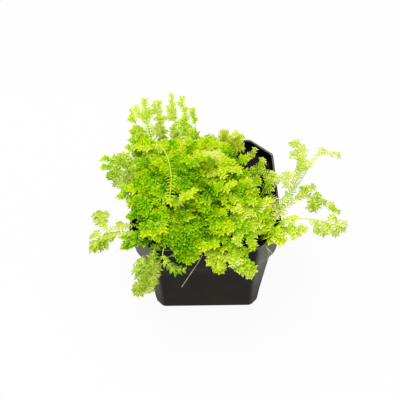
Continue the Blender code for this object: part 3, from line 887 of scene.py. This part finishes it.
def turnedOut(ahead, side, upper, angle, lift):
    # the direction of a leaf: so many degrees from the stem ahead, and so many up
    angle, lift = math.radians(angle), math.radians(lift)
    return (ahead * math.cos(angle) + side * math.sin(angle)) * math.cos(lift) \
        + upper * math.sin(lift)


def leafShoot(plant, points, uppers, order, tint, radius, bare=0.0):
    # sets leaves along one shoot and grows its side shoots: order 0 stem, 1 side shoot, 2 twig
    habit, draw = plant["habit"], plant["draw"]
    last = len(points) - 1
    if order == 0:
        plant["tip"] = points[last]
    length = sum((b - a).length for a, b in zip(points, points[1:]))
    plant["stems"].append((points, radius, radius * 0.45))
    every = habit["sideEvery"] if order == 0 else habit["twigEvery"]
    nextShoot = bare + every * draw.uniform(0.3, 0.9) if order == 0 else 1.8
    hand = draw.choice((-1, 1))
    spread, (lowLift, highLift) = habit["angleSpread"], habit["lift"]
    gone = 0.4
    while gone < length:
        left = length - gone
        spot = gone / length * last
        i = min(int(spot), last - 1)
        place = points[i].lerp(points[i + 1], spot - i)
        ahead = (points[i + 1] - points[i]).normalized()
        upper = uppers[i]
        side = upper.cross(ahead)
        inBare = gone < bare
        if inBare and not habit["footLeaves"]:
            gone = bare
            continue
        club = max(0.0, 1.0 - left / habit["club"]) ** 0.8    # 0 in the comb, 1 at the end
        end = min(1.0, 0.5 + left / habit["taper"])
        deep = (moundHeight(place.x, place.y) - place.z) / habit["deepWithin"]
        new = max(0.0, 1.0 - (place - plant["tip"]).length / habit["newGrowth"])
        # deep in the mound the leaves are greener and darker: older, and painted shade
        shade = tint + habit["tipTint"] * (0.75 * new + 0.25 * club) \
            - habit["deepTint"] * min(1.0, max(0.0, deep))
        # the patches paint light and shade as well as tint
        if habit["leaf"] in moundLeaves:
            shade += patchLightAndTint(place)
        for turn in (-1, 1):
            along = turnedOut(ahead, side * turn, upper,
                              mix(habit["combAngle"], habit["clubAngle"], club)
                              + draw.uniform(-spread, spread),
                              draw.uniform(lowLift, highLift + 6 * club))
            face = (upper + side * draw.uniform(-0.15, 0.15)
                    + ahead * (habit["nod"] + draw.uniform(-0.3, 0.05))).normalized()
            size = [mix(inComb, inClub, club) * end * draw.uniform(*habit["sizeSpread"])
                    for inComb, inClub in zip(habit["combLeaf"], habit["clubLeaf"])]
            setLeaf(plant, "sideLeaves", place, along, face, *size, draw.uniform(*habit["curl"]),
                    shade + draw.uniform(-1, 1) * habit["vary"]
                    if draw.random() > habit["withered"] else deadLeaf)
        for turn in (-1, 1):
            # the small leaves along the top, one a step in the comb and a pair in the club
            if inBare or (club < 0.1 and turn != hand) or not habit["scales"]:
                continue
            along = turnedOut(ahead, side * turn, upper, 17 + draw.uniform(-7, 7),
                              draw.uniform(8, 26))
            face = (upper + side * turn * 0.5).normalized()
            scaleLength, scaleWidth = habit["scaleLeaf"]
            setLeaf(plant, "smallLeaves", place + upper * 0.18 + ahead * 0.4, along, face,
                    scaleLength * end, scaleWidth * end, 0.1,
                    shade + 0.04 + draw.uniform(-0.05, 0.05))
        if order < 2 and gone >= nextShoot and left > 2.0:
            nextShoot = gone + every * draw.uniform(0.8, 1.2)
            hand = -hand
            if order == 0:
                # the longest stand a little before the middle
                reach = habit["sideShoot"] * (0.45 + 0.55 * math.sin(
                    math.pi * (0.15 + 0.75 * (gone / length))))
                reach = min(reach, 3.0 + 1.2 * left)
            else:
                reach = min(habit["twig"], 1.5 + 0.55 * left)
            reach *= draw.uniform(0.8, 1.15)
            angle = math.radians(habit["sideAngle"] + draw.uniform(-7, 7))
            heading = (ahead * math.cos(angle) + side * hand * math.sin(angle)
                       + upper * draw.uniform(-0.12, 0.16)).normalized()
            tilt = squareTo(heading,
                            (upper + side * hand * draw.uniform(-0.25, 0.2)).normalized())
            branch = walk(place, heading, tilt, reach, habit["droop"],
                          -hand * draw.uniform(0.0, 0.05))
            leafShoot(plant, *branch, order + 1, tint + draw.uniform(-0.05, 0.07),
                      radius * habit["thinner"])
        if inBare:
            gone += habit["bareSpacing"]
        else:
            gone += mix(habit["combSpacing"], habit["clubSpacing"], club) * draw.uniform(0.9, 1.1)


def turnedAlong(points, coarse, coarseUppers):
    # the upper sides of the coarse route, read off at the points of the fine one
    uppers = []
    for i in range(len(points)):
        spot = i / (len(points) - 1) * (len(coarse) - 1)
        k = min(int(spot), len(coarse) - 2)
        uppers.append(coarseUppers[k].lerp(coarseUppers[k + 1], spot - k).normalized())
    return uppers


def branchRoute(points, tip):
    # leaves the frond 7 mm before the place nearest to its tip, in a low arch
    near = min(range(len(points)), key=lambda i: (points[i] - tip).length)
    foot = max(2, near - 7)
    middle = points[foot].lerp(tip, 0.5) + worldUp * 0.12 * (tip - points[foot]).length
    return [points[foot], middle, tip], (points[foot] - points[foot - 1]).normalized()


def growFrond(name, frond, fills):
    plant = {"habit": frond, "draw": random.Random(name), "sideLeaves": [], "smallLeaves": [],
             "stems": []}
    coarse = smoothRoute(frond["route"], stationSpacing)
    points = smoothRoute(frond["route"], 1.0)
    coarse = coarse[:max(3, round(frond["end"] * len(coarse)))]
    points = points[:max(6, round(frond["end"] * len(points)))]
    faces = frond["faces"]
    leafShoot(plant, points, turnedAlong(points, coarse, upperSides(coarse, faces)), 0,
              frond["tint"], frond["stemRadius"], frond["bare"])
    plant["habit"] = {**frond, **frond["branch"]}
    for tip in frond["tips"]:
        branch, start = branchRoute(points, Vector(tip))
        fine = smoothRoute(branch, 1.0, start)
        leafShoot(plant, fine, upperSides(fine, faces), 0,
                  frond["tint"] + plant["draw"].uniform(-0.07, 0.07), frond["branchRadius"],
                  frond["branchBare"])
    plant["habit"] = frondHabit
    for fill in fills:
        fine = smoothRoute(fill["route"], 1.0)
        leafShoot(plant, fine, upperSides(fine), 0, fill["tint"], fillSprays["stemRadius"],
                  fill["bare"])
    return plant


def moundHeight(x, y):
    away = Vector((x, y, 0)) - fillSprays["centre"]
    return fillSprays["top"] - fillSprays["fall"] * away.length_squared


def planFills():
    # the closing sprays, as routes from the compost to the mound's surface
    s = fillSprays
    draw = random.Random(s["seed"])
    plans = {name: [] for name in allFronds}
    hosts = [name for name, frond in allFronds.items()
             if frond["leaf"] in moundLeaves and name != "arching_frond"]

    def plan(tip, out, share, paler=0.0):
        length = draw.uniform(*s["length"])
        rise = draw.uniform(*s["rise"]) - 0.35 * share ** 2
        back = tip - out * length * 0.9 - worldUp * length * rise
        foot = Vector((back.x * 0.8, back.y * 0.8, mound["foot"] - 1))
        middle = foot.lerp(back, 0.6) + worldUp * 4
        nearest = min(hosts, key=lambda name: min((point - tip).length
                                                  for point in allFronds[name]["route"]))
        tint = draw.uniform(*s["tint"]) + paler + s["tintAcross"] * tip.x \
            + s["tintFront"] * min(0.0, tip.y + 25)
        plans[nearest].append({"route": [foot, middle, back, tip], "tint": tint,
                               "bare": max(6.0, (back - foot).length * 0.9)})

    for k in range(s["count"]):
        turn = k * mound["goldenAngle"] + 0.6
        share = math.sqrt((k + 0.5) / s["count"])
        square = max(abs(math.cos(turn)), abs(math.sin(turn))) ** -0.35   # fills the corners
        x = s["centre"].x + s["across"][0] * share * square * math.cos(turn)
        y = s["centre"].y + s["across"][1] * share * square * math.sin(turn)
        tip = Vector((x, y, moundHeight(x, y) + draw.uniform(*s["uneven"]) * (1.1 - share)
                      + draw.uniform(-2, 2)))
        # the compost at the back right and the rim at the front corners stay in view
        behind = y + 0.85 * (tip.z - 84)       # where the spray hides the compost
        bareCorner = x > 17 and behind > 16 or x > 27 and behind > -6
        rimShows = y < -44 and x < -18 or y < -38 and x > 31
        if bareCorner or rimShows or abs(x) + abs(y) > 76:
            continue
        swing = draw.uniform(-1.0, 1.0) * mix(1.6, 0.4, share)
        out = Vector((math.cos(turn + swing), math.sin(turn + swing), 0))
        plan(tip, out, share)
    for x, y, z in s["rimTips"]:
        plan(Vector((x, y, z)), Vector((x, y, 0)).normalized(), 1.0,
             s["rimTint"] if y > 20 else 0.0)
    return plans


def stampLeaves(leaves, shape):
    co, faces, under = shape
    data = np.array(leaves)
    place, along, across, face = (data[:, i:i + 3] for i in (0, 3, 6, 9))
    length, width, curl, tint = (data[:, i, None] for i in (12, 13, 14, 15))
    x, y, z = co.T
    verts = (place[:, None] + along[:, None] * (length * x)[:, :, None]
             + across[:, None] * (width * y)[:, :, None]
             + face[:, None] * (frondHabit["leafThickness"] * z
                                - curl * length * x ** 2)[:, :, None])
    index = faces[None] + (len(co) * np.arange(len(data)))[:, None, None]
    s, edge, tint = mapShares, y[faces][None], tint[:, :, None]
    u = np.clip(0.02 + 0.96 * x, 0, 1)[faces]
    v = np.clip(tint, *s["tint"]) + s["across"] * edge + s["under"] * under[None, :, None]
    v = np.where(tint >= deadLeaf, s["dead"] + 0.01 * edge, np.clip(v, s["oldest"], s["newest"]))
    u = np.broadcast_to(u[None], v.shape)
    return verts.reshape(-1, 3) * mm, index.reshape(-1, 3), np.stack([u, v], -1).reshape(-1, 2)


def makeStems(name, stems):
    # tapered tubes, one spline for each shoot
    curve = bpy.data.curves.new(name, "CURVE")
    curve.dimensions = "3D"
    curve.bevel_depth = mm
    curve.bevel_resolution = 0
    curve.use_fill_caps = True
    for points, thick, thin in stems:
        spots = points[::3 if len(points) > 6 else 2]
        if spots[-1] is not points[-1]:
            spots = spots + [points[-1]]
        spline = curve.splines.new("POLY")
        spline.points.add(len(spots) - 1)
        for i, (spot, point) in enumerate(zip(spline.points, spots)):
            spot.co = (*(point * mm), 1)
            spot.radius = thick + (thin - thick) * i / (len(spots) - 1)
    makeActive(newObject(name, curve))
    bpy.ops.object.convert(target="MESH")
    stem = bpy.context.object
    bpy.ops.object.shade_smooth()

    # along the stem in U, a narrow strip of the map in V
    layer = stem.data.uv_layers.active or stem.data.uv_layers.new()
    layer.name = "OFBake"
    uv = np.zeros(len(stem.data.loops) * 2)
    layer.data.foreach_get("uv", uv)
    uv = uv.reshape(-1, 2)
    uv[:, 1] = 0.02 + 0.08 * (uv[:, 1] - uv[:, 1].min()) / max(1e-6, np.ptp(uv[:, 1]))
    layer.data.foreach_set("uv", uv.ravel())
    stem.data.materials.append(stemMaterial)
    return stem


def makeFrond(name, frond, fills):
    plant = growFrond(name, frond, fills)
    count, verts, faces, uvs = 0, [], [], []
    for leaves, shape in ((plant["sideLeaves"], sideLeaf), (plant["smallLeaves"], smallLeaf)):
        if leaves:
            points, index, uv = stampLeaves(leaves, shape)
            verts.append(points)
            faces.append(index + count)
            uvs.append(uv)
            count += len(points)
    mesh = bpy.data.meshes.new(name)
    mesh.from_pydata(np.concatenate(verts).tolist(), [], np.concatenate(faces).tolist())
    mesh.uv_layers.new(name="OFBake").data.foreach_set("uv", np.concatenate(uvs).ravel())
    mesh.materials.append(leafMaterials[frond["leaf"]])
    spray = newObject(name, mesh)
    joinInto(spray, [makeStems(name + "Stems", plant["stems"])])
    settle(spray, name.title().replace("_", "") + "Spray")
    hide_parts(name)
    return len(spray.data.polygons)


def onCompost(route):
    return [Vector((*route[0], mound["foot"]))] + [Vector(point) for point in route[1:]]


allFronds = {name: {**frondHabit, **frond, "route": onCompost(frond["route"])}
             for name, frond in fronds.items()}
allFronds.update(moundFronds())
plans = planFills()
faceCount = sum(makeFrond(name, frond, plans[name]) for name, frond in allFronds.items())
print("fronds made:", len(allFronds), "with", faceCount, "faces")

# the aerial roots keep the threads they have
for name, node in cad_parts.items():
    if name.startswith("aerial_root"):
        for slot in node.material_slots:
            slot.material = rootMaterial
print("roots finished")


# The floor, lamps and camera.
stage = {
    "floorSize": 4.0,
    "paper": 0.85,
    "glow": 0.92,             # how white the camera sees the floor; the rest is paper
    "world": 0.5,
    "lamps": [  # place in metres, size, power in watts
        ("overhead softbox", (-0.15, 0.05, 0.95), 0.8, 5.4),
        ("left softbox", (-0.95, -0.35, 0.55), 0.7, 1.8),
        ("right softbox", (0.95, -0.30, 0.55), 0.7, 1.6),
        ("front fill", (0.10, -1.05, 0.75), 0.7, 1.8),
    ],
    "lampTarget": (0, 0, 0.06),
    "elevation": 49.65, "yaw": 1.01, "roll": 1.63,    # degrees
    "distance": 332.5, "target": (-3.19, -9.15, 83.0), "lens": 49.17,
}


def seenDirectly(tree):
    # 1 for what the camera or a reflection sees, 0 for light on the object
    rays = addNode(tree, "LightPath").outputs
    seen = rays["Is Camera Ray"]
    for ray in ("Is Glossy Ray", "Is Transmission Ray"):
        seen = addNode(tree, "Math", {"operation": "MAXIMUM"}, {0: seen, 1: rays[ray]})
    return seen


def whiteFloor(tree):
    paper = addNode(tree, "BsdfDiffuse", {"Color": (*[stage["paper"]] * 3, 1)})
    glow = addNode(tree, "Emission", {"Strength": 1.0})
    share = addNode(tree, "Math", {"operation": "MULTIPLY", 1: stage["glow"]},
                    {0: seenDirectly(tree)})
    return addNode(tree, "MixShader", {}, {0: share, 1: paper, 2: glow})


def makeStage():
    s, scene = stage, bpy.context.scene
    deselectAll()
    bpy.ops.mesh.primitive_plane_add(size=s["floorSize"])
    floor = bpy.context.object
    floor.name = "floor"
    floor.data.materials.append(newMaterial("white backdrop paper", whiteFloor))

    scene.world = bpy.data.worlds.new("studio")
    scene.world.use_nodes = True
    tree = scene.world.node_tree
    tree.nodes.clear()
    room, backdrop = (addNode(tree, "Background", {"Color": (1, 1, 1, 1), "Strength": strength})
                      for strength in (s["world"], 1.0))
    both = addNode(tree, "MixShader", {}, {0: seenDirectly(tree), 1: room, 2: backdrop})
    addNode(tree, "OutputWorld", {}, {"Surface": both})

    for name, place, size, power in s["lamps"]:
        light = bpy.data.lights.new(name, "AREA")
        light.size, light.energy = size, power
        lamp = newObject(name, light)
        lamp.location = place
        away = Vector(place) - Vector(s["lampTarget"])
        lamp.rotation_euler = away.to_track_quat("Z", "Y").to_euler()

    e, yaw, roll = (math.radians(s[k]) for k in ("elevation", "yaw", "roll"))
    back = Vector((math.sin(yaw) * math.cos(e), -math.cos(yaw) * math.cos(e), math.sin(e)))
    right = Vector((math.cos(yaw), math.sin(yaw), 0))
    above = back.cross(right)
    right, above = (math.cos(roll) * right - math.sin(roll) * above,
                    math.sin(roll) * right + math.cos(roll) * above)
    lens = bpy.data.cameras.new("camera")
    lens.lens = s["lens"]
    lens.clip_start, lens.clip_end = 0.01, 10
    camera = newObject("camera", lens)
    turned = Matrix((right, above, back)).transposed().to_4x4()
    turned.translation = (Vector(s["target"]) + s["distance"] * back) * mm
    camera.matrix_world = turned
    scene.camera = camera
    scene.view_settings.view_transform = "Standard"


makeStage()
print("stage made")
